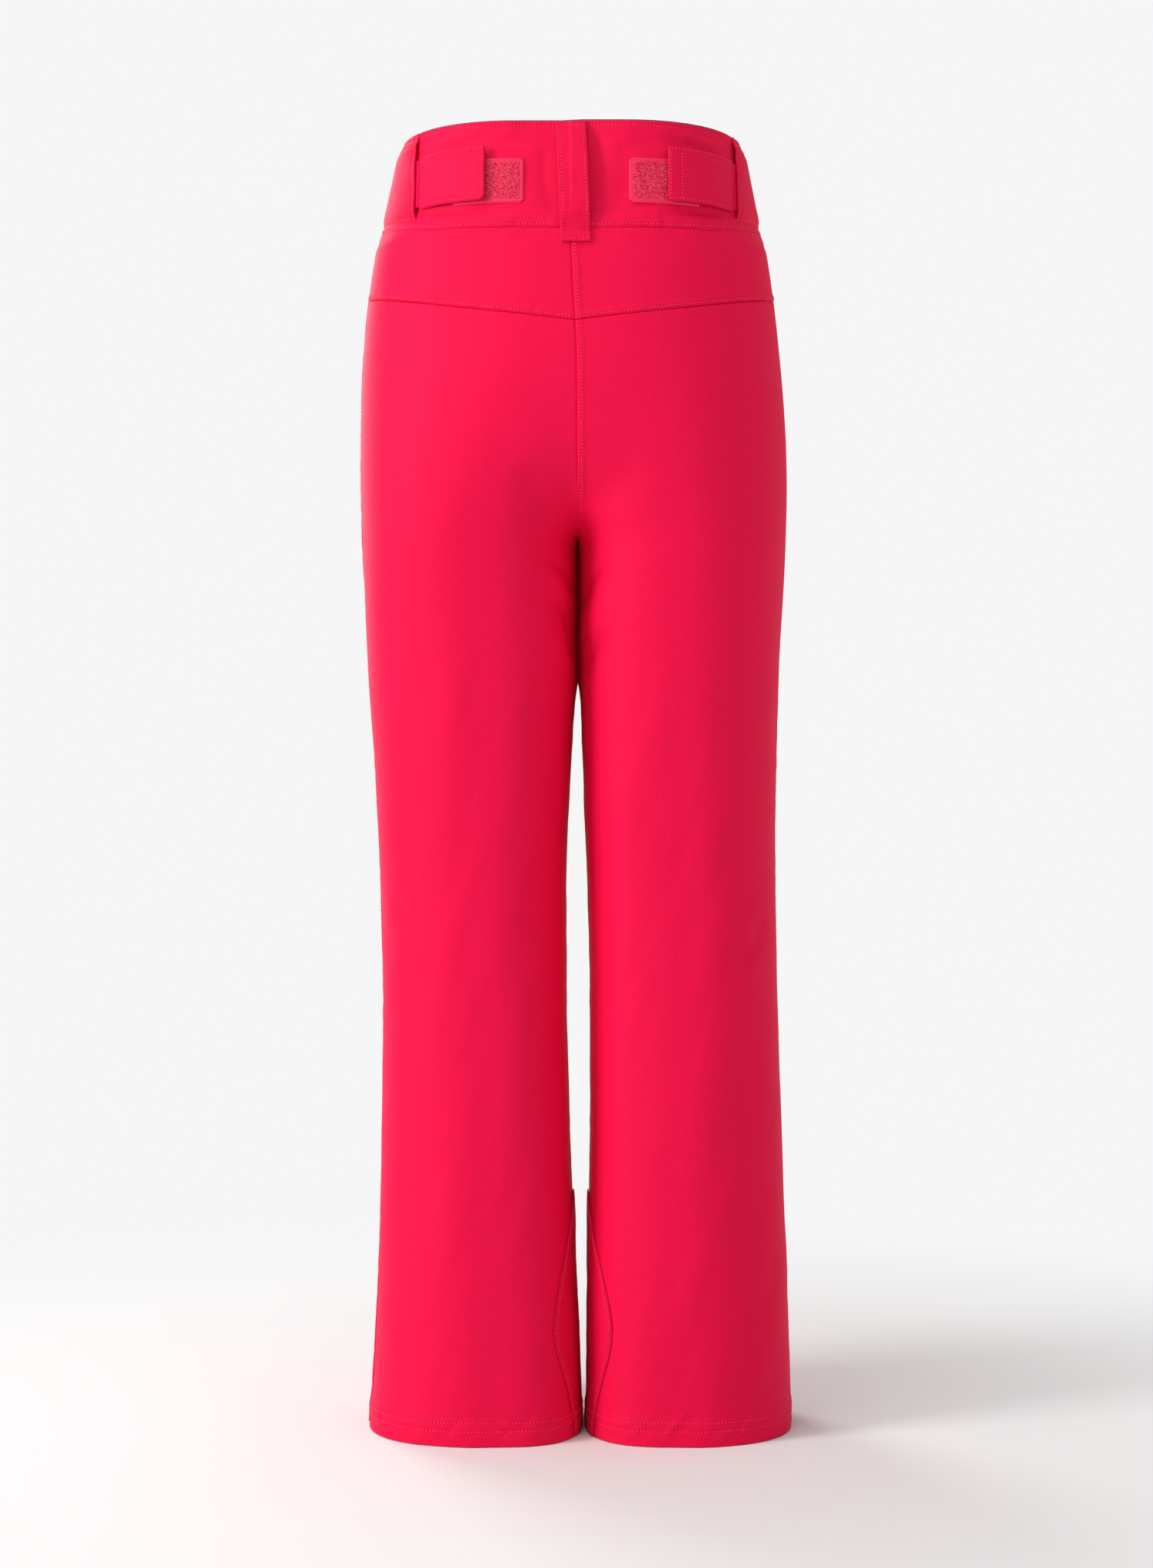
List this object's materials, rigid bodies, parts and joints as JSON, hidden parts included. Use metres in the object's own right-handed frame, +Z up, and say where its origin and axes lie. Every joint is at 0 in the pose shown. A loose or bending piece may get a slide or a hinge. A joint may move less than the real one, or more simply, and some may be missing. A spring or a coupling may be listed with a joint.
{
  "type": "ski pants",
  "caption": "Insulated ski trousers standing as worn: two legs on level hems, wide waistband with side adjuster tabs, belt loops, covered zip fly and zipped hand pockets.",
  "frame": {"origin": "centre of the footprint, on the floor the hems stand on", "axes": "+Z up the garment; the wearer faces -Y; the wearer's left side is +X"},
  "size_m": [0.3477, 0.2346, 1.0297],
  "materials": {
    "shell": "smooth woven shell, slight sheen",
    "hook_and_loop": "pile",
    "lining": "brushed",
    "elastic": "ribbed",
    "zip_coil": "satin",
    "pull_tape": "satin",
    "metal": "satin"
  },
  "bodies": {
    "garment": {"back_leg_left": "shell", "front_leg_left": "shell", "pocket_zip_tape_left": "zip_coil", "pocket_bag_left": "lining", "back_yoke_left": "shell", "lining_left": "lining", "hem_facing_left": "lining", "gaiter_left": "lining", "gaiter_elastic_left": "elastic", "scuff_guard_left": "shell", "back_leg_right": "shell", "front_leg_right": "shell", "pocket_zip_tape_right": "zip_coil", "pocket_bag_right": "lining", "back_yoke_right": "shell", "lining_right": "lining", "hem_facing_right": "lining", "gaiter_right": "lining", "gaiter_elastic_right": "elastic", "scuff_guard_right": "shell", "waistband_back": "shell", "waistband_front_left": "shell", "waistband_front_right": "shell", "waistband_facing": "lining", "adjuster_tunnel_left": "shell", "loop_patch_left": "hook_and_loop", "adjuster_elastic_left": "elastic", "adjuster_tunnel_right": "shell", "loop_patch_right": "hook_and_loop", "adjuster_elastic_right": "elastic", "belt_loop_back": "shell", "belt_loop_front_left": "shell", "belt_loop_front_right": "shell", "fly_zip_tape": "zip_coil", "fly_placket": "lining", "snap_stud_1": "metal", "snap_stud_2": "metal"},
    "fly_flap": {"waistband_overlap": "shell", "fly_cover": "shell", "snap_cap_1": "metal", "snap_cap_2": "metal", "snap_socket_1": "metal", "snap_socket_2": "metal"},
    "fly_slider_body": {"fly_slider": "metal", "fly_pull": "pull_tape"},
    "pocket_slider_left_body": {"pocket_slider_left": "metal"},
    "pocket_pull_left_body": {"pocket_pull_left": "pull_tape"},
    "strap_left_body": {"adjuster_strap_left": "shell"},
    "tab_left_body": {"adjuster_tab_left": "shell", "tab_hook_left": "hook_and_loop"},
    "pocket_slider_right_body": {"pocket_slider_right": "metal"},
    "pocket_pull_right_body": {"pocket_pull_right": "pull_tape"},
    "strap_right_body": {"adjuster_strap_right": "shell"},
    "tab_right_body": {"adjuster_tab_right": "shell", "tab_hook_right": "hook_and_loop"}
  },
  "joints": [
    {"name": "fly_flap_hinge", "type": "hinge", "parent": "garment", "child": "fly_flap", "pos_m": [-0.0376, -0.10191, 0.9035], "axis": [0, -0.051, -0.9987], "range_deg": [0, 105]},
    {"name": "fly_slider_travel", "type": "slide", "parent": "garment", "child": "fly_slider_body", "axis": [0, -0.0424, -0.9991], "range_m": [0, 0.128]},
    {"name": "pocket_slider_left_travel", "type": "slide", "parent": "garment", "child": "pocket_slider_left_body", "axis": [-0.1384, -0.2043, -0.9691], "range_m": [0, 0.105]},
    {"name": "pocket_pull_left_swing", "type": "hinge", "parent": "pocket_slider_left_body", "child": "pocket_pull_left_body", "pos_m": [0.1448, -0.0603, 0.91924], "axis": [-0.7816, -0.5784, 0.2336], "range_deg": [0, 150]},
    {"name": "strap_left_feed", "type": "hinge", "parent": "garment", "child": "strap_left_body", "pos_m": [0.04914, 0, 0.985], "axis": [0, 0, 1], "range_deg": [0, 11]},
    {"name": "tab_left_peel", "type": "hinge", "parent": "strap_left_body", "child": "tab_left_body", "pos_m": [0.12344, 0.0686, 0.9855], "axis": [0.0018, 0.3073, -0.9516], "range_deg": [0, 120]},
    {"name": "pocket_slider_right_travel", "type": "slide", "parent": "garment", "child": "pocket_slider_right_body", "axis": [0.097, -0.2002, -0.9749], "range_m": [0, 0.105]},
    {"name": "pocket_pull_right_swing", "type": "hinge", "parent": "pocket_slider_right_body", "child": "pocket_pull_right_body", "pos_m": [-0.13655, -0.05999, 0.91921], "axis": [-0.7678, 0.6082, -0.2013], "range_deg": [0, 150]},
    {"name": "strap_right_feed", "type": "hinge", "parent": "garment", "child": "strap_right_body", "pos_m": [-0.03986, 0, 0.985], "axis": [0, 0, -1], "range_deg": [0, 11]},
    {"name": "tab_right_peel", "type": "hinge", "parent": "strap_right_body", "child": "tab_right_body", "pos_m": [-0.12334, 0.05895, 0.98552], "axis": [0.0019, -0.3252, 0.9457], "range_deg": [0, 120]}
  ]
}
